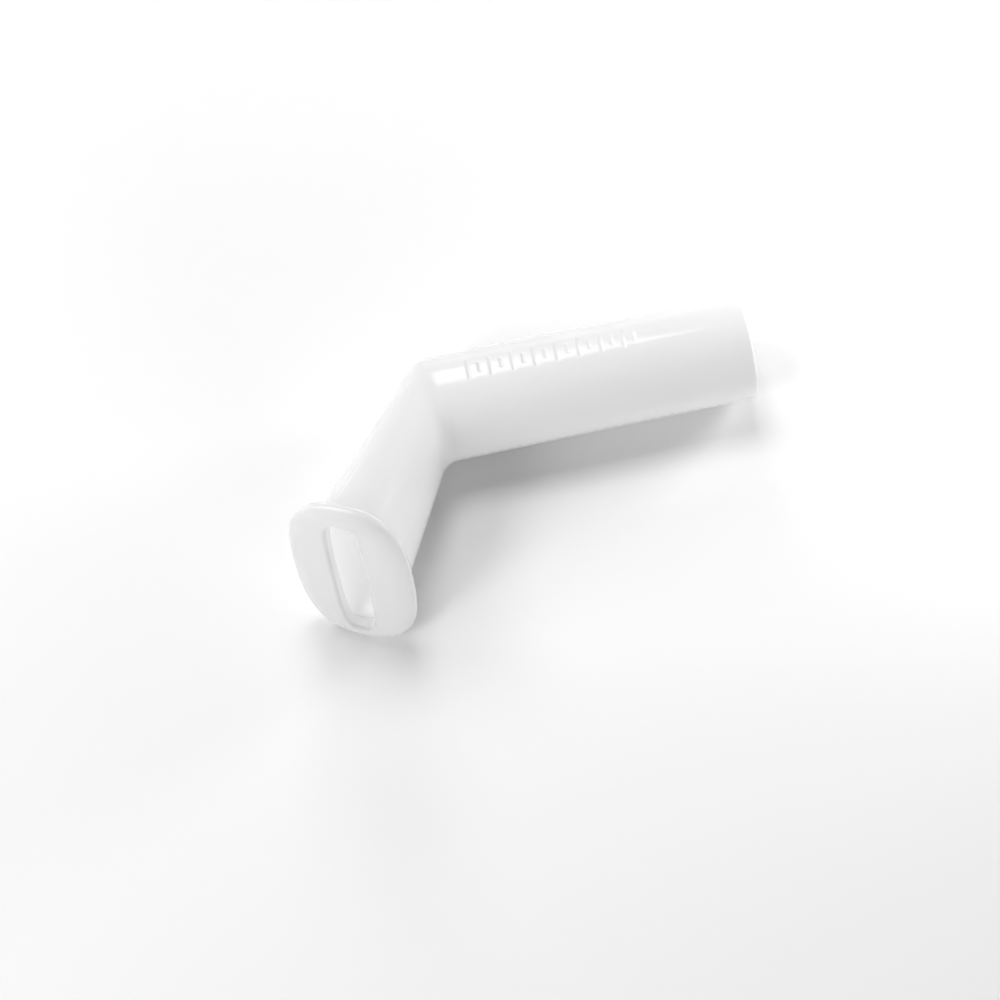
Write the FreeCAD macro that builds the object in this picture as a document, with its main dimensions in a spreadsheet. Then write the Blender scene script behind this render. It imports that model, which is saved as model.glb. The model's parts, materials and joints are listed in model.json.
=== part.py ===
"""Angled mouthpiece.

A round outlet tube, a hollow limb that flattens towards the mouth, and a slotted lip flange.

Design frame of each body: the origin is the centre of the bend, +X runs along the tube to its
outlet, the limb leaves towards -X and -Y, and +Z is the long direction of the mouth slot. Each
body's Placement then rolls that frame about the tube's axis, so that the tube and the low end of
the flange stand on one level, and moves the origin to the centre of the outlet.
"""

import FreeCAD, Part
import Sketcher
import math
import os

V = FreeCAD.Vector

DIMENSIONS = {
    # outlet tube: a parallel land for the hose at its end, and a barrel with a little draft
    "tube_radius": 11.0,
    "tube_wall": 1.6,
    "tube_length": 66.8,
    "land_length": 22.0,
    "barrel_radius": 11.1,
    "barrel_start": 3.0,
    "rim_round": 0.45,
    # bend
    "seam_lean": 6.7,
    "seam_overrun": 2.0,
    "mouth_turn": 61.8,
    "mouth_back_x": -21.1,
    "mouth_back_y": -34.4,
    # collar of the limb, in a counterbore of the tube
    "collar_radius": 10.2,
    "collar_gap": 0.05,
    "collar_length": 7.0,
    # limb
    "limb_half_long": 18.75,
    "limb_half_short": 9.1,
    "limb_wall": 1.6,
    # lip flange
    "lip_half_long": 21.1,
    "lip_half_short": 12.6,
    "lip_thickness": 4.3,
    "lip_round": 2.05,
    "socket_depth": 1.6,
    "socket_gap": 0.05,
    "slot_half_long": 17.4,
    "slot_half_short": 3.55,
    "slot_round": 0.8,
    # engraved graduations along the top of the barrel
    "mark_first": 8.5,
    "mark_pitch": 2.3,
    "mark_pairs": 8,
    "mark_width": 0.8,
    "mark_depth": 0.3,
    "mark_clear": 0.5,
    "long_mark_arc": 27.0,
    "short_mark_arc": 14.0,
    # how the part lies
    "side_roll": 15.3,
}
LIMB_SQUARENESS = 2.3
LIP_SQUARENESS = 2.78
SLOT_SQUARENESS = 4.0
OVAL_POINTS = 32
TOUCHING = 1e-4
# settings that extrude a leaning sketch along the tube, towards its outlet
ALONG_TUBE = {"UseCustomVector": True, "Direction": V(1, 0, 0), "AlongSketchNormal": False}

doc = FreeCAD.newDocument("mouthpiece")


def make_sheet():
    sheet = doc.addObject("Spreadsheet::Sheet", "Sizes")
    for row, (alias, value) in enumerate(DIMENSIONS.items(), start=1):
        sheet.set(f"A{row}", alias)
        sheet.set(f"B{row}", str(value))
        sheet.setAlias(f"B{row}", alias)
    doc.recompute()
    return sheet


sizes = make_sheet()


def size(alias):
    return float(sizes.get(alias))


def make_body(name):
    body = doc.addObject("PartDesign::Body", name)
    body.Label = name
    return body


def make_sketch(body, name, role):
    """A sketch on one of the body's origin planes."""
    plane = next(f for f in body.Origin.OriginFeatures if f.Role == role)
    sketch = body.newObject("Sketcher::SketchObject", name)
    sketch.AttachmentSupport = [(plane, "")]
    sketch.MapMode = "FlatFace"
    return sketch


def leaning_sketch(body, name, angle):
    """A sketch square to the tube, turned about +Z by the angle that the expression gives."""
    sketch = make_sketch(body, name, "YZ_Plane")
    sketch.setExpression("AttachmentOffset.Rotation.Axis.y", "1")
    sketch.setExpression("AttachmentOffset.Rotation.Axis.z", "0")
    sketch.setExpression("AttachmentOffset.Rotation.Angle", f"{angle} * 1 deg")
    return sketch


def seam_sketch(body, name):
    """A sketch on the plane where tube and limb meet, with its y along +Z."""
    return leaning_sketch(body, name, "Sizes.seam_lean")


def mouth_sketch(body, name, out="0"):
    """A sketch parallel to the flange's back face, moved out of it towards the mouth.

    Sketch y is +Z, and the sketch's normal points from the mouth to the bend.
    """
    sketch = leaning_sketch(body, name, "Sizes.mouth_turn")
    turn = "(Sizes.mouth_turn * 1 deg)"
    sketch.setExpression("AttachmentOffset.Base.x", f"Sizes.mouth_back_y - {out} * sin{turn}")
    sketch.setExpression("AttachmentOffset.Base.z", f"Sizes.mouth_back_x - {out} * cos{turn}")
    return sketch


def add_outline(sketch, corners):
    """A closed outline of straight lines. Each corner's x and y are expressions."""
    spots = [V(sketch.evalExpression(x), sketch.evalExpression(y), 0) for x, y in corners]
    lines = [
        sketch.addGeometry(Part.LineSegment(start, end), False)
        for start, end in zip(spots, spots[1:] + spots[:1])
    ]
    for line, following in zip(lines, lines[1:] + lines[:1]):
        sketch.addConstraint(Sketcher.Constraint("Coincident", line, 2, following, 1))
    for line, (x, y), spot in zip(lines, corners, spots):
        for kind, expression, value in (("DistanceX", x, spot.x), ("DistanceY", y, spot.y)):
            index = sketch.addConstraint(Sketcher.Constraint(kind, -1, 1, line, 1, value))
            sketch.setExpression(f"Constraints[{index}]", expression)


def add_oval(sketch, half_short, half_long, squareness):
    """A closed superellipse: an ellipse for squareness 2, nearer to a rectangle as that grows."""
    power = 2.0 / squareness
    points = []
    for step in range(OVAL_POINTS):
        angle = 2 * math.pi * step / OVAL_POINTS
        across = math.cos(angle)
        along = math.sin(angle)
        x = half_short * math.copysign(abs(across) ** power, across)
        y = half_long * math.copysign(abs(along) ** power, along)
        points.append(V(x, y, 0))
    curve = Part.BSplineCurve()
    curve.interpolate(points, PeriodicFlag=True)
    sketch.addGeometry(curve, False)


def add_feature(body, kind, name, profile, bound=None, **settings):
    """A PartDesign feature from a profile. Settings are values, and bound ones are expressions."""
    feature = body.newObject(f"PartDesign::{kind}", name)
    feature.Profile = profile
    for key, value in settings.items():
        setattr(feature, key, value)
    for key, expression in (bound or {}).items():
        feature.setExpression(key, expression)
    doc.recompute()
    return feature


def round_edges(body, name, chosen, radius):
    """Fillets the edges of the body's newest shape that the test picks."""
    base = body.Tip
    names = [f"Edge{i}" for i, edge in enumerate(base.Shape.Edges, start=1) if chosen(edge)]
    fillet = body.newObject("PartDesign::Fillet", name)
    fillet.Base = (base, names)
    fillet.setExpression("Radius", radius)
    doc.recompute()


def place(body):
    body.setExpression("Placement.Base.x", "-Sizes.tube_length")
    body.setExpression("Placement.Rotation.Axis.x", "1")
    body.setExpression("Placement.Rotation.Axis.z", "0")
    body.setExpression("Placement.Rotation.Angle", "-Sizes.side_roll * 1 deg")


def make_outlet_tube():
    body = make_body("outlet_tube")
    wall = make_sketch(body, "tube_profile", "XZ_Plane")
    bore = "Sizes.tube_radius - Sizes.tube_wall"
    add_outline(
        wall,
        [
            ("-Sizes.seam_overrun", bore),
            ("Sizes.tube_length", bore),
            ("Sizes.tube_length", "Sizes.tube_radius"),
            ("Sizes.tube_length - Sizes.land_length", "Sizes.tube_radius"),
            ("Sizes.barrel_start", "Sizes.barrel_radius"),
            ("-Sizes.seam_overrun", "Sizes.barrel_radius"),
        ],
    )
    add_feature(body, "Revolution", "tube_wall", wall, ReferenceAxis=(wall, ["H_Axis"]))

    mitre = seam_sketch(body, "seam_plane")
    reach = "2 * Sizes.tube_radius"
    low = f"-{reach}"
    add_outline(mitre, [(low, low), (reach, low), (reach, reach), (low, reach)])
    add_feature(body, "Pocket", "seam_end", mitre, {"Length": reach})
    end = size("tube_length")
    round_edges(body, "rim", lambda edge: edge.BoundBox.XMin > end - TOUCHING, "Sizes.rim_round")

    counterbore_radius = size("collar_radius") + size("collar_gap")
    counterbore = seam_oval(body, "counterbore_outline", counterbore_radius)
    depth = {"Length": "Sizes.collar_length + Sizes.collar_gap"}
    add_feature(body, "Pocket", "counterbore", counterbore, depth, **ALONG_TUBE)

    add_marks(body, "long_mark", "Sizes.mark_first", "Sizes.long_mark_arc")
    add_marks(body, "short_mark", "Sizes.mark_first + Sizes.mark_pitch", "Sizes.short_mark_arc")
    return body


def add_marks(body, name, start, arc):
    """Grooves across the top of the barrel, two pitches apart, that follow its round."""
    end = f"{start} + Sizes.mark_width"
    low = "Sizes.tube_radius - Sizes.mark_depth"
    high = "Sizes.barrel_radius + Sizes.mark_clear"
    profile = make_sketch(body, f"{name}_profile", "XZ_Plane")
    add_outline(profile, [(start, low), (end, low), (end, high), (start, high)])
    settings = {"ReferenceAxis": (profile, ["H_Axis"]), "Midplane": True}
    groove = add_feature(body, "Groove", name, profile, {"Angle": f"{arc} * 1 deg"}, **settings)
    row = body.newObject("PartDesign::LinearPattern", f"{name}_row")
    row.Originals = [groove]
    row.Direction = (profile, ["H_Axis"])
    row.Mode = "Spacing"
    row.setExpression("Offset", "2 * Sizes.mark_pitch")
    row.setExpression("Occurrences", "Sizes.mark_pairs")
    body.Tip = row
    doc.recompute()


def seam_oval(body, name, radius):
    """The round section of the given radius where the leaning seam plane cuts it: an ellipse."""
    sketch = seam_sketch(body, name)
    across = radius / math.cos(math.radians(size("seam_lean")))
    sketch.addGeometry(Part.Ellipse(V(across, 0, 0), V(0, radius, 0), V(0, 0, 0)), False)
    return sketch


def limb_oval(body, name, inset=0.0, out="0"):
    """The limb's section at the flange, made smaller all round by the inset."""
    sketch = mouth_sketch(body, name, out)
    half_short = size("limb_half_short") - inset
    half_long = size("limb_half_long") - inset
    add_oval(sketch, half_short, half_long, LIMB_SQUARENESS)
    return sketch


def make_mouth_limb():
    body = make_body("mouth_limb")
    bore_radius = size("tube_radius") - size("tube_wall")
    wall = size("limb_wall")
    tenon = "(Sizes.socket_depth - Sizes.socket_gap)"

    outer_seam = seam_oval(body, "outer_seam", size("barrel_radius"))
    outer_mouth = limb_oval(body, "outer_mouth")
    outer = {"Sections": [outer_mouth], "Ruled": True}
    add_feature(body, "AdditiveLoft", "outer_limb", outer_seam, **outer)
    tenon_end = limb_oval(body, "tenon_end", out=tenon)
    add_feature(body, "Pad", "tenon", tenon_end, {"Length": tenon})
    collar = seam_oval(body, "collar_outline", size("collar_radius"))
    add_feature(body, "Pad", "collar", collar, {"Length": "Sizes.collar_length"}, **ALONG_TUBE)

    inner_seam = seam_oval(body, "inner_seam", bore_radius)
    inner_mouth = limb_oval(body, "inner_mouth", inset=wall)
    inner = {"Sections": [inner_mouth], "Ruled": True}
    add_feature(body, "SubtractiveLoft", "passage", inner_seam, **inner)
    mouth_end = limb_oval(body, "mouth_end", inset=wall)
    add_feature(body, "Pocket", "tenon_passage", mouth_end, {"Length": f"2 * {tenon}"})
    collar_bore = seam_oval(body, "collar_bore", bore_radius)
    through = {"Length": "2 * Sizes.collar_length"}
    add_feature(body, "Pocket", "collar_passage", collar_bore, through, **ALONG_TUBE)
    return body


def make_lip_flange():
    body = make_body("lip_flange")
    front = mouth_sketch(body, "front_outline", "Sizes.lip_thickness")
    add_oval(front, size("lip_half_short"), size("lip_half_long"), LIP_SQUARENESS)
    add_feature(body, "Pad", "plate", front, {"Length": "Sizes.lip_thickness"})
    round_edges(body, "round_rim", lambda edge: True, "Sizes.lip_round")

    socket = limb_oval(body, "socket_outline", inset=-size("socket_gap"))
    depth = {"Length": "Sizes.socket_depth"}
    add_feature(body, "Pocket", "limb_socket", socket, depth, Reversed=True)
    slot = mouth_sketch(body, "slot_outline", "Sizes.lip_thickness")
    add_oval(slot, size("slot_half_short"), size("slot_half_long"), SLOT_SQUARENESS)
    through = {"Length": "Sizes.lip_thickness"}
    add_feature(body, "Pocket", "mouth_slot", slot, through, Reversed=True)
    front_level = size("lip_thickness")
    round_edges(body, "slot_edge", lambda edge: is_level(edge, front_level), "Sizes.slot_round")
    return body


def is_level(edge, out):
    """True for an edge that lies wholly at one distance out of the flange's back face."""
    turn = math.radians(size("mouth_turn"))
    normal = V(-math.cos(turn), -math.sin(turn), 0)
    back = V(size("mouth_back_x"), size("mouth_back_y"), 0)
    heights = [(point - back).dot(normal) for point in edge.discretize(5)]
    return all(abs(height - out) < TOUCHING for height in heights)


def check(body):
    """Stops with a plain message if a feature failed or the body isn't one sound solid."""
    for item in [body, *body.Group]:
        if {"Invalid", "Error"} & set(item.State):
            raise RuntimeError(f"{item.Label} failed: {item.State}")
    shape = body.Shape
    if shape.isNull() or not shape.isValid() or len(shape.Solids) != 1:
        raise RuntimeError(f"{body.Label} is not one valid solid")
    print(f"{body.Label}: {shape.Volume:.1f} mm3, box {shape.BoundBox}")


bodies = [make_outlet_tube(), make_mouth_limb(), make_lip_flange()]
for part_body in bodies:
    place(part_body)
doc.recompute()
for part_body in bodies:
    check(part_body)
os.makedirs("parts", exist_ok=True)
for part_body in bodies:
    part_body.Shape.exportStep(f"parts/{part_body.Label}.step")
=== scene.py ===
import json
import math

import bpy
import numpy as np
from mathutils import Euler, Matrix, Vector


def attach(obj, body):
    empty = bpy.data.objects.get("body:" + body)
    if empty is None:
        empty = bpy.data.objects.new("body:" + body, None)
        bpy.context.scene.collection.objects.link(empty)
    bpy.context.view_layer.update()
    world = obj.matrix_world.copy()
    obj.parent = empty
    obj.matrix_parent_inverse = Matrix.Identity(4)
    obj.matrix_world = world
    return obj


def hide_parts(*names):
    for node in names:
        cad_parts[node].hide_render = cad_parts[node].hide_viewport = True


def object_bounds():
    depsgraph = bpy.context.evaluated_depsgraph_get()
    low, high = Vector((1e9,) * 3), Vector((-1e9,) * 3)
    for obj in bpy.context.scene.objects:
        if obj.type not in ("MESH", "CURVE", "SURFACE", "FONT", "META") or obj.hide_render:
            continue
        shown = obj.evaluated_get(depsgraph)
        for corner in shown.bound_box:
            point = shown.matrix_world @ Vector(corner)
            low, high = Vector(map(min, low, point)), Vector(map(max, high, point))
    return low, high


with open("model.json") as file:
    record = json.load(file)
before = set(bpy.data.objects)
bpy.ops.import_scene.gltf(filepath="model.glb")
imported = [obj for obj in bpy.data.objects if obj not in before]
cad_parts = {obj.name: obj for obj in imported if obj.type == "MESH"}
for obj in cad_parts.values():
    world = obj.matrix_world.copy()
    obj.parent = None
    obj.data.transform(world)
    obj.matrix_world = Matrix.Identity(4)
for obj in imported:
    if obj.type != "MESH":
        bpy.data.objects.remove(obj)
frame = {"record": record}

# The mouthpiece is built in the frame of its bend, in millimetres: the origin is the centre of the
# bend, +X runs along the tube to its outlet, and +Z is the long direction of the slot. to_row()
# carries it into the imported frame.
MM = 0.001
CAD_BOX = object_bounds()
OUTLET = next(m for m in frame["record"]["mounts"] if m["name"] == "outlet")

WALL = 1.6
SIDE_ROLL = math.radians(15.3)

TUBE_R = OUTLET["dims"]["r_mm"]
BORE_R = TUBE_R - WALL
TUBE_LENGTH = 66.8
LAND_LENGTH = 22.0          # the parallel end that takes the hose
BARREL_R = 11.1             # the barrel narrows from this, at its start, to the land
BARREL_START = 3.0
RIM_ROUND = 0.45

SEAM_LEAN = math.radians(6.7)
CREASE_ROUND = 3.0          # how far from the sharp crease its rounding starts
CREASE_RINGS = 7
MITRE_ZONE = 5.5            # the tube's rings are square to it from here on

MOUTH_TURN = math.radians(61.8)
MOUTH_BACK = np.array([-21.1, -34.4, 0.0])
MOUTH_ACROSS = np.array([-math.sin(MOUTH_TURN), math.cos(MOUTH_TURN), 0.0])
MOUTH_OUT = np.array([-math.cos(MOUTH_TURN), -math.sin(MOUTH_TURN), 0.0])
ALONG_TUBE = np.array([1.0, 0.0, 0.0])
ALONG_SLOT = np.array([0.0, 0.0, 1.0])

LIMB_HALF = (9.1, 18.75)    # half sizes across and along the slot's direction
LIMB_SQUARENESS = 2.3
MOULD_LINE = math.radians(74)
MOULD_LINE_DEPTH = 0.08
MOULD_LINE_WIDTH = 0.3
MOULD_LINE_RUN_IN = 1 / 12  # the part of the limb over which the mould line gets its depth
COLLAR_R = 10.2
COLLAR_LENGTH = 7.0
COLLAR_GAP = 0.05
COUNTERBORE_CLEAR = 3.0     # from the collar's end to the bore's last ring that is square to it

LIP_HALF = (12.6, 21.1)
LIP_SQUARENESS = 2.78
LIP_THICKNESS = 4.3
LIP_ROUND = 2.05
LIP_EDGE = 1.9              # height of the widest outline above the flat back
LIP_DOME = 1.1              # how much the front face drops from its middle line to its sides
LIP_REACH = 4.0             # how far in from the outline the front face starts to round over
SOCKET_DEPTH = 1.6
SOCKET_GAP = 0.05
SLOT_HALF = (3.55, 17.4)
SLOT_SQUARENESS = 4.0
SLOT_ROUND = 0.8
SLOT_BACK_HALF = (3.4, 16.2)
SLOT_BACK_ROUND = 0.3

MARK_FIRST = 8.5
MARK_PITCH = 2.3
MARK_COUNT = 16
MARK_WIDTH = 0.8
MARK_CORNER = 0.45 * MARK_WIDTH
MARK_FLOOR = TUBE_R - 0.15
MARK_EDGE = 0.6             # how far the side of a mark spreads
MARK_EDGE_OUTSIDE = 0.35    # and how much of that lies outside the mark's outline
LONG_MARK_ARC = math.radians(27.0)
SHORT_MARK_ARC = math.radians(14.0)
MARK_RING_STEP = 0.1        # the tube's rings are this close over the marks
MARK_MARGIN = 0.3           # and this far past them

AROUND = 192                # points around each of the flange's rings
FLOOR_Z = CAD_BOX[0][2]
SHARP_ANGLE = math.radians(55)

# Painted glow, an even emission that stands in for light coming through the wall: none in the thick
# flange, a little in tube and limb, more in the slot, and most in the limb's passage.
WALL_GLOW = 0.045
LIP_GLOW = 0.0
SLOT_GLOW = 0.08
PASSAGE_GLOW = 0.275


# ---------------------------------------------------------------- geometry helpers

def to_row(points):
    """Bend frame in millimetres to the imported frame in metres."""
    c, s = math.cos(-SIDE_ROLL), math.sin(-SIDE_ROLL)
    x, y, z = points[..., 0], points[..., 1], points[..., 2]
    return np.stack([x - TUBE_LENGTH, c * y - s * z, s * y + c * z], axis=-1) * MM


def ring_angles():
    return np.arange(AROUND) * (2 * math.pi / AROUND)


def angles_around(middle, edge, fine, coarse):
    """Angles all the way round: so many close together about the middle one, the others coarser."""
    near = np.linspace(middle - edge, middle + edge, fine)
    far = np.linspace(middle + edge, middle - edge + 2 * math.pi, coarse)[1:-1]
    return np.concatenate([near, far])


def oval(half, squareness, angles):
    """A superellipse's points across and along, at the given angles."""
    across, along = np.cos(angles), np.sin(angles)
    power = 2.0 / squareness
    return np.stack([half[0] * np.sign(across) * np.abs(across) ** power,
                     half[1] * np.sign(along) * np.abs(along) ** power], axis=-1)


def even_oval(half, squareness, count):
    """A superellipse's points at even distances along its outline, from its across end."""
    dense = oval(half, squareness, np.linspace(0, math.pi / 2, 2001))
    run = np.concatenate([[0], np.cumsum(np.hypot(*np.diff(dense, axis=0).T))])
    quarter = count // 4
    at = np.linspace(0, run[-1], quarter + 1)
    q = np.stack([np.interp(at, run, dense[:, 0]), np.interp(at, run, dense[:, 1])], axis=-1)
    upper = np.concatenate([q, (q[:-1] * [-1, 1])[::-1]])
    return np.concatenate([upper, (upper[1:-1] * [1, -1])[::-1]])


def smoothstep(t):
    t = np.clip(t, 0, 1)
    return t * t * (3 - 2 * t)


def on_mouth_plane(flat, centre=MOUTH_BACK):
    """Points of a plane parallel to the flange's back, from their distances across and along."""
    return centre + flat[:, :1] * MOUTH_ACROSS + flat[:, 1:] * ALONG_SLOT


def torus_mesh(name, rings, inside=(0, 0)):
    """A closed mesh from closed rings of equal length.

    Each ring is joined to the next, and the last to the first.
    The bands between the two rings that "inside" numbers take the piece's second material.
    """
    count = len(rings[0])
    vertices = to_row(np.concatenate(rings))
    faces = []
    for r in range(len(rings)):
        here, there = r * count, ((r + 1) % len(rings)) * count
        for k in range(count):
            n = (k + 1) % count
            faces.append((here + k, here + n, there + n, there + k))
    mesh = bpy.data.meshes.new(name)
    mesh.from_pydata(vertices.tolist(), [], faces)
    mesh.validate()
    mesh.update()
    volume = sum(signed_volume(mesh, p) for p in mesh.polygons)
    if volume < 0:
        mesh.flip_normals()
    mesh.shade_smooth()
    mesh.set_sharp_from_angle(angle=SHARP_ANGLE)
    first, last = (ring * count for ring in inside)
    for polygon in mesh.polygons:
        lowest = min(polygon.vertices)
        polygon.material_index = int(first <= lowest < last)
    piece = bpy.data.objects.new(name, mesh)
    bpy.context.scene.collection.objects.link(piece)
    return piece


def signed_volume(mesh, polygon):
    a, b, c, d = (mesh.vertices[i].co for i in polygon.vertices)
    return (a.cross(b).dot(c) + a.cross(c).dot(d)) / 6


def arc(centre, radius, start, end, steps):
    """An arc's points, from its start angle to its end angle in degrees."""
    t = np.radians(np.linspace(start, end, steps + 1))
    return [(centre[0] + radius * math.cos(a), centre[1] + radius * math.sin(a)) for a in t]


# ---------------------------------------------------------------- outlet tube

def seam_points(angles, radius=BARREL_R):
    """Where the tube's wall at each angle meets the leaning seam plane."""
    y = radius * np.cos(angles)
    return np.stack([-math.tan(SEAM_LEAN) * y, y, radius * np.sin(angles)], axis=-1)


def mouth_points(angles):
    return on_mouth_plane(oval(LIMB_HALF, LIMB_SQUARENESS, angles))


def crease(angles, t):
    """The rounded crease: 0 is on the tube, 1 is on the limb, and both pieces meet at 0.5."""
    seam = seam_points(angles)
    limb = mouth_points(angles) - seam
    limb /= np.linalg.norm(limb, axis=1)[:, None]
    start = seam + CREASE_ROUND * ALONG_TUBE
    end = seam + CREASE_ROUND * limb
    return (1 - t) ** 2 * start + 2 * t * (1 - t) * seam + t ** 2 * end


def outside_mark(x, around, number):
    """The distance from points of the tube's surface to a mark's outline, negative inside it."""
    middle = MARK_FIRST + number * MARK_PITCH + MARK_WIDTH / 2
    half_arc = (LONG_MARK_ARC if number % 2 == 0 else SHORT_MARK_ARC) * TUBE_R / 2
    dx = abs(x - middle) - MARK_WIDTH / 2 + MARK_CORNER
    da = np.abs(around) - half_arc + MARK_CORNER
    past_corner = np.hypot(np.maximum(dx, 0), np.maximum(da, 0))
    return past_corner + np.minimum(np.maximum(dx, da), 0) - MARK_CORNER


def wall_radius(x, angles):
    """The tube's outside radius at a distance along it: barrel, land and engraved marks."""
    plain = np.interp(x, [BARREL_START, TUBE_LENGTH - LAND_LENGTH], [BARREL_R, TUBE_R])
    around = (angles - math.pi / 2) * TUBE_R
    cut = np.zeros_like(angles)
    for number in range(MARK_COUNT):
        outside = outside_mark(x, around, number)
        cut = np.maximum(cut, smoothstep(MARK_EDGE_OUTSIDE - outside / MARK_EDGE))
    return plain - (plain - MARK_FLOOR) * cut


def tube_stations():
    """Distances along the tube: fine over the marks."""
    first = MARK_FIRST - MARK_MARGIN
    last = MARK_FIRST + (MARK_COUNT - 1) * MARK_PITCH + MARK_WIDTH + MARK_MARGIN
    before = np.linspace(MITRE_ZONE, first, 4)[:-1]
    marks = np.arange(first, last, MARK_RING_STEP)
    after = np.linspace(last + MARK_RING_STEP, TUBE_LENGTH - RIM_ROUND, 14)
    return np.concatenate([before, marks, after])


def make_tube():
    marks_edge = LONG_MARK_ARC / 2 + math.radians(2.5)
    angles = angles_around(math.pi / 2, marks_edge, fine=61, coarse=150)
    circle = np.stack([np.zeros_like(angles), np.cos(angles), np.sin(angles)], axis=-1)
    rings = [crease(angles, t) for t in np.linspace(0.5, 0, CREASE_RINGS)]
    # from the crease's edge, which leans, to rings that are square to the tube
    edge = rings[-1]
    for t in (0.35, 0.7):
        rings.append(edge * (1 - t) + (circle * BARREL_R + MITRE_ZONE * ALONG_TUBE) * t)
    for x in tube_stations():
        rings.append(circle * wall_radius(x, angles)[:, None] + x * ALONG_TUBE)
    end = TUBE_LENGTH - RIM_ROUND
    profile = arc((end, TUBE_R - RIM_ROUND), RIM_ROUND, 90, 0, 7)[1:]
    profile += arc((end, BORE_R + RIM_ROUND), RIM_ROUND, 0, -90, 7)
    last_square = COLLAR_LENGTH + COUNTERBORE_CLEAR
    profile += [(x, BORE_R) for x in np.linspace(end, last_square, 20)[1:]]
    rings += [circle * r + x * ALONG_TUBE for x, r in profile]
    depth = (COLLAR_LENGTH + COLLAR_GAP) * ALONG_TUBE
    counterbore = seam_points(angles, COLLAR_R + COLLAR_GAP)
    rings += [seam_points(angles, BORE_R) + depth, counterbore + depth]
    rings += [counterbore + depth / 2, counterbore]
    return torus_mesh("tube_shell", rings)


# ---------------------------------------------------------------- limb

def mould_groove(angles):
    """How far the mould line is cut into the limb, as vectors away from its middle."""
    along = (angles - MOULD_LINE) * BARREL_R
    depth = MOULD_LINE_DEPTH * np.exp(-(along / MOULD_LINE_WIDTH) ** 2)
    direction = math.cos(MOULD_LINE) * MOUTH_ACROSS + math.sin(MOULD_LINE) * ALONG_SLOT
    return depth[:, None] * direction


def make_limb():
    angles = angles_around(MOULD_LINE, math.radians(4), fine=25, coarse=341)
    mouth = mouth_points(angles)
    tenon = (SOCKET_DEPTH - SOCKET_GAP) * MOUTH_OUT
    inner_half = (LIMB_HALF[0] - WALL, LIMB_HALF[1] - WALL)
    inner_mouth = on_mouth_plane(oval(inner_half, LIMB_SQUARENESS, angles))
    rings = [crease(angles, t) for t in np.linspace(0.5, 1, CREASE_RINGS)]
    start = rings[-1]
    groove = mould_groove(angles)
    for t in np.linspace(0, 1, 61)[1:-1]:
        cut = groove * smoothstep(t / MOULD_LINE_RUN_IN)
        rings.append(start * (1 - t) + mouth * t - cut)
    rings += [mouth - groove, mouth + tenon, inner_mouth + tenon]
    passage_starts = len(rings) - 2
    inner_seam = seam_points(angles, BORE_R)
    rings += [inner_mouth * (1 - t) + inner_seam * t for t in np.linspace(0, 1, 25)]
    length = COLLAR_LENGTH * ALONG_TUBE
    rings += [inner_seam + length * 0.5, inner_seam + length]
    passage_ends = len(rings) - 1
    outer_collar = seam_points(angles, COLLAR_R)
    rings += [outer_collar + length, outer_collar + length * 0.5, outer_collar]
    # The passage's bands take the second material, with its stronger painted glow.
    return torus_mesh("limb_shell", rings, inside=(passage_starts, passage_ends))


# ---------------------------------------------------------------- lip flange

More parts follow.
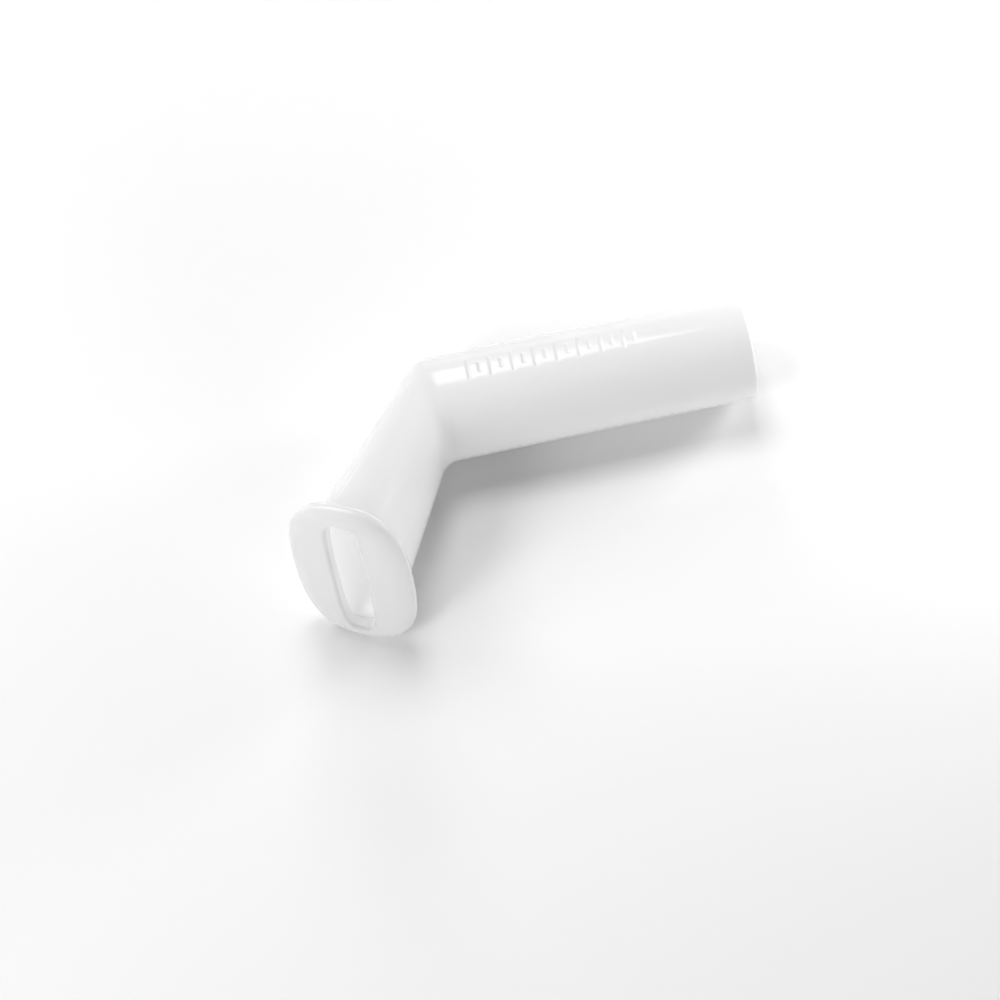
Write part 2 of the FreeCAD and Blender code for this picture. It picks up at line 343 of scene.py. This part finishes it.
def make_flange():
    outline = even_oval(LIP_HALF, LIP_SQUARENESS, AROUND)
    slot = even_oval(SLOT_HALF, SLOT_SQUARENESS, AROUND)
    slot_back = even_oval(SLOT_BACK_HALF, SLOT_SQUARENESS, AROUND)
    socket_half = (LIMB_HALF[0] + SOCKET_GAP, LIMB_HALF[1] + SOCKET_GAP)
    socket = oval(socket_half, LIMB_SQUARENESS, ring_angles())
    dense_outline = even_oval(LIP_HALF, LIP_SQUARENESS, 4 * AROUND)

    def ring(flat, out):
        height = np.reshape(out, (-1, 1)) * MOUTH_OUT
        return on_mouth_plane(flat, MOUTH_BACK + height)

    def front_height(flat):
        """Height of the domed front face above the flat back, at points of the flange's plane."""
        dome = LIP_THICKNESS - LIP_DOME * (flat[:, 0] / LIP_HALF[0]) ** 2
        inwards = np.linalg.norm(flat[:, None] - dense_outline[None], axis=2).min(axis=1)
        short = 1 - np.minimum(inwards / LIP_REACH, 1)
        return LIP_EDGE + (dome - LIP_EDGE) * np.sqrt(1 - short ** 2)

    def inset(flat, by):
        """The outline moved inwards by a distance, square to itself."""
        tangent = np.roll(flat, -1, axis=0) - np.roll(flat, 1, axis=0)
        tangent /= np.linalg.norm(tangent, axis=1)[:, None]
        return flat - by * np.stack([tangent[:, 1], -tangent[:, 0]], axis=-1)

    rings = []
    # slot wall, from the socket's floor to the front, and the round of its front edge
    wall_start = SOCKET_DEPTH + SLOT_BACK_ROUND
    rings += [ring(inset(slot_back, r - SLOT_BACK_ROUND), o) for o, r in
              arc((wall_start, 0.0), SLOT_BACK_ROUND, 180, 90, 3)]
    edge_of_slot = inset(slot, -SLOT_ROUND)
    wall_end = front_height(edge_of_slot) - SLOT_ROUND
    rings += [ring(slot_back * (1 - t) + slot * t, wall_start * (1 - t) + wall_end * t)
              for t in np.linspace(0, 1, 5)[1:]]
    slot_ends = len(rings) - 1
    rings += [ring(inset(slot, r - SLOT_ROUND), wall_end + o)
              for o, r in arc((0.0, 0.0), SLOT_ROUND, 90, 0, 7)[1:]]
    # domed front face, from the slot's edge over to the widest outline
    for t in 1 - np.linspace(1, 0, 29)[1:] ** 2:
        flat = edge_of_slot * (1 - t) + outline * t
        rings.append(ring(flat, front_height(flat)))
    # round from the widest outline to the flat back
    for a in np.radians(np.linspace(0, -90, 10))[1:]:
        flat = inset(outline, LIP_ROUND * (1 - math.cos(a)))
        rings.append(ring(flat, LIP_EDGE * (1 + math.sin(a))))
    # flat back, the socket and its floor
    back_edge = inset(outline, LIP_ROUND)
    rings += [ring(back_edge * (1 - t) + socket * t, 0.0) for t in (0.4, 0.8, 1.0)]
    rings.append(ring(socket, SOCKET_DEPTH))
    floor_end = inset(slot_back, -SLOT_BACK_ROUND)
    rings.append(ring((socket + floor_end) / 2, SOCKET_DEPTH))
    # The slot wall's bands take the second material, with its painted glow.
    return torus_mesh("lip_body", rings, inside=(0, slot_ends))


# ---------------------------------------------------------------- materials

def milky_plastic(name, glow):
    """Natural polypropylene: milky and translucent, with a soft gloss and a fine skin texture."""
    material = bpy.data.materials.new(name)
    material.use_nodes = True
    nodes, links = material.node_tree.nodes, material.node_tree.links
    nodes.clear()
    out = nodes.new("ShaderNodeOutputMaterial")
    shader = nodes.new("ShaderNodeBsdfPrincipled")
    links.new(shader.outputs["BSDF"], out.inputs["Surface"])
    shader.inputs["IOR"].default_value = 1.49
    shader.inputs["Subsurface Weight"].default_value = 0.25
    shader.inputs["Subsurface Radius"].default_value = (1.0, 1.0, 1.0)
    shader.inputs["Subsurface Scale"].default_value = 0.001
    # Painted glow: an even emission that stands in for light coming through the wall.
    shader.inputs["Emission Color"].default_value = (1, 1, 1, 1)
    shader.inputs["Emission Strength"].default_value = glow

    where = nodes.new("ShaderNodeTexCoord")
    flow = nodes.new("ShaderNodeTexNoise")
    flow.inputs["Scale"].default_value = 38.0
    flow.inputs["Detail"].default_value = 3.0
    links.new(where.outputs["Object"], flow.inputs["Vector"])
    tint = nodes.new("ShaderNodeValToRGB")
    tint.color_ramp.elements[0].position = 0.3
    tint.color_ramp.elements[0].color = (0.7, 0.7, 0.7, 1)
    tint.color_ramp.elements[1].position = 0.7
    tint.color_ramp.elements[1].color = (0.715, 0.715, 0.715, 1)
    links.new(flow.outputs["Fac"], tint.inputs["Fac"])
    links.new(tint.outputs["Color"], shader.inputs["Base Color"])

    gloss = nodes.new("ShaderNodeMapRange")
    gloss.inputs["To Min"].default_value = 0.09
    gloss.inputs["To Max"].default_value = 0.14
    links.new(flow.outputs["Fac"], gloss.inputs["Value"])
    links.new(gloss.outputs["Result"], shader.inputs["Roughness"])

    skin = nodes.new("ShaderNodeTexNoise")
    skin.inputs["Scale"].default_value = 900.0
    skin.inputs["Detail"].default_value = 2.0
    links.new(where.outputs["Object"], skin.inputs["Vector"])
    bump = nodes.new("ShaderNodeBump")
    bump.inputs["Strength"].default_value = 0.04
    bump.inputs["Distance"].default_value = 0.0002
    links.new(skin.outputs["Fac"], bump.inputs["Height"])
    links.new(bump.outputs["Normal"], shader.inputs["Normal"])
    return material


def floor_material():
    """Matt and pale. Far from the part, where the lights don't reach, a glow keeps it so."""
    material = bpy.data.materials.new("studio_floor")
    material.use_nodes = True
    nodes, links = material.node_tree.nodes, material.node_tree.links
    shader = nodes["Principled BSDF"]
    shader.inputs["Base Color"].default_value = (0.86, 0.86, 0.86, 1)
    shader.inputs["Roughness"].default_value = 0.9
    shader.inputs["Specular IOR Level"].default_value = 0.1
    shader.inputs["Emission Color"].default_value = (1, 1, 1, 1)
    where = nodes.new("ShaderNodeTexCoord")
    away = nodes.new("ShaderNodeVectorMath")
    away.operation = "DISTANCE"
    away.inputs[1].default_value = (LIGHT_AIM.x, LIGHT_AIM.y, FLOOR_Z)
    links.new(where.outputs["Object"], away.inputs[0])
    glow = nodes.new("ShaderNodeMapRange")
    glow.interpolation_type = "SMOOTHSTEP"
    glow.inputs["From Min"].default_value = 0.15
    glow.inputs["From Max"].default_value = 0.36
    links.new(away.outputs["Value"], glow.inputs["Value"])
    links.new(glow.outputs["Result"], shader.inputs["Emission Strength"])
    return material


# ---------------------------------------------------------------- stage, lights and camera

LIGHT_AIM = Vector((-0.057, -0.0225, 0.0))
OUTLET_AIM = Vector((-0.005, -0.02, 0.0))
FILL_DISTANCE = 0.6
FILL_HEIGHT = 0.2
# azimuth and elevation in degrees, width and power of the soft light from all round
FILL_LIGHTS = (
    (0, 65, 0.2, 1.25),
    (0, 32, 0.2, 0.65),
    (45, 48, 0.2, 0.75),
    (120, 38, 0.2, 1.15),
    (90, 15, 0.2, 0.65),
    (200, 12, 0.35, 1.2),
)
CAMERA_AIM = Vector((-0.05689, -0.02245, 0.0))
CAMERA_DISTANCE = 0.5101
CAMERA_AZIMUTH = math.radians(-6.52)
CAMERA_ELEVATION = math.radians(68.39)
CAMERA_ROLL = math.radians(-5.76)
CAMERA_LENS = 90.0


def make_floor():
    half = 4.0
    corners = [(-half, -half), (half, -half), (half, half), (-half, half)]
    mesh = bpy.data.meshes.new("floor")
    mesh.from_pydata([(x, y, FLOOR_Z) for x, y in corners], [], [(0, 1, 2, 3)])
    floor = bpy.data.objects.new("floor", mesh)
    bpy.context.scene.collection.objects.link(floor)
    mesh.materials.append(floor_material())


def softbox(name, azimuth, elevation, distance, width, height, power, shows_in, aim=LIGHT_AIM):
    """A rectangular light that shows in the diffuse shading only, or in the gloss only.

    Azimuth 0 is behind the part, at +Y, and 90 is at -X.
    """
    data = bpy.data.lights.new(name, "AREA")
    data.shape = "RECTANGLE"
    data.size = width
    data.size_y = height
    data.energy = power
    lamp = bpy.data.objects.new(name, data)
    a, e = math.radians(azimuth), math.radians(elevation)
    away = Vector((-math.sin(a) * math.cos(e), math.cos(a) * math.cos(e), math.sin(e)))
    lamp.location = aim + distance * away
    lamp.rotation_euler = away.to_track_quat("Z", "Y").to_euler()
    lamp.visible_diffuse = shows_in == "diffuse"
    lamp.visible_glossy = shows_in == "gloss"
    bpy.context.scene.collection.objects.link(lamp)


def make_world(diffuse, backdrop):
    """A pale backdrop that adds only a little to the diffuse light."""
    world = bpy.data.worlds.new("studio")
    world.use_nodes = True
    nodes, links = world.node_tree.nodes, world.node_tree.links
    background = nodes["Background"]
    background.inputs["Color"].default_value = (1, 1, 1, 1)
    ray = nodes.new("ShaderNodeLightPath")
    level = nodes.new("ShaderNodeMapRange")
    level.inputs["To Min"].default_value = backdrop
    level.inputs["To Max"].default_value = diffuse
    links.new(ray.outputs["Is Diffuse Ray"], level.inputs["Value"])
    links.new(level.outputs["Result"], background.inputs["Strength"])
    bpy.context.scene.world = world


def make_camera():
    data = bpy.data.cameras.new("camera")
    data.sensor_width = 36.0
    data.lens = CAMERA_LENS
    data.clip_start = 0.01
    camera = bpy.data.objects.new("camera", data)
    level = Euler((math.pi / 2 - CAMERA_ELEVATION, 0, CAMERA_AZIMUTH)).to_matrix()
    turn = level @ Matrix.Rotation(CAMERA_ROLL, 3, "Z")
    camera.matrix_world = turn.to_4x4()
    camera.location = CAMERA_AIM + CAMERA_DISTANCE * (turn @ Vector((0, 0, 1)))
    bpy.context.scene.collection.objects.link(camera)
    bpy.context.scene.camera = camera


# ---------------------------------------------------------------- the model

# Copies of one plastic that differ only in painted glow, an even emission standing in for light
# through the wall; the lip's copy has none.
wall_plastic_painted_glow = milky_plastic("milky_polypropylene_wall_painted_glow", WALL_GLOW)
passage_plastic_painted_glow = milky_plastic("milky_polypropylene_passage_painted_glow", PASSAGE_GLOW)
lip_plastic = milky_plastic("milky_polypropylene_lip", LIP_GLOW)
slot_plastic_painted_glow = milky_plastic("milky_polypropylene_slot_painted_glow", SLOT_GLOW)
for maker, node, materials in (
    (make_tube, "outlet_tube", (wall_plastic_painted_glow,)),
    (make_limb, "mouth_limb", (wall_plastic_painted_glow, passage_plastic_painted_glow)),
    (make_flange, "lip_flange", (lip_plastic, slot_plastic_painted_glow)),
):
    piece = maker()
    for material in materials:
        piece.data.materials.append(material)
    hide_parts(node)
    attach(piece, "root")

make_floor()
make_world(diffuse=0.15, backdrop=0.8)
for index, (azimuth, elevation, width, power) in enumerate(FILL_LIGHTS, start=1):
    softbox(f"fill_{index}", azimuth, elevation, FILL_DISTANCE, width, FILL_HEIGHT, power,
            shows_in="diffuse")
softbox("window", azimuth=21.9, elevation=44.5, distance=0.9, width=0.76, height=0.57,
        power=5.6, shows_in="gloss")
softbox("outlet_fill", azimuth=-65, elevation=15, distance=0.15, width=0.06, height=0.06,
        power=0.2, shows_in="diffuse", aim=OUTLET_AIM)
make_camera()
bpy.context.scene.view_settings.view_transform = "Standard"
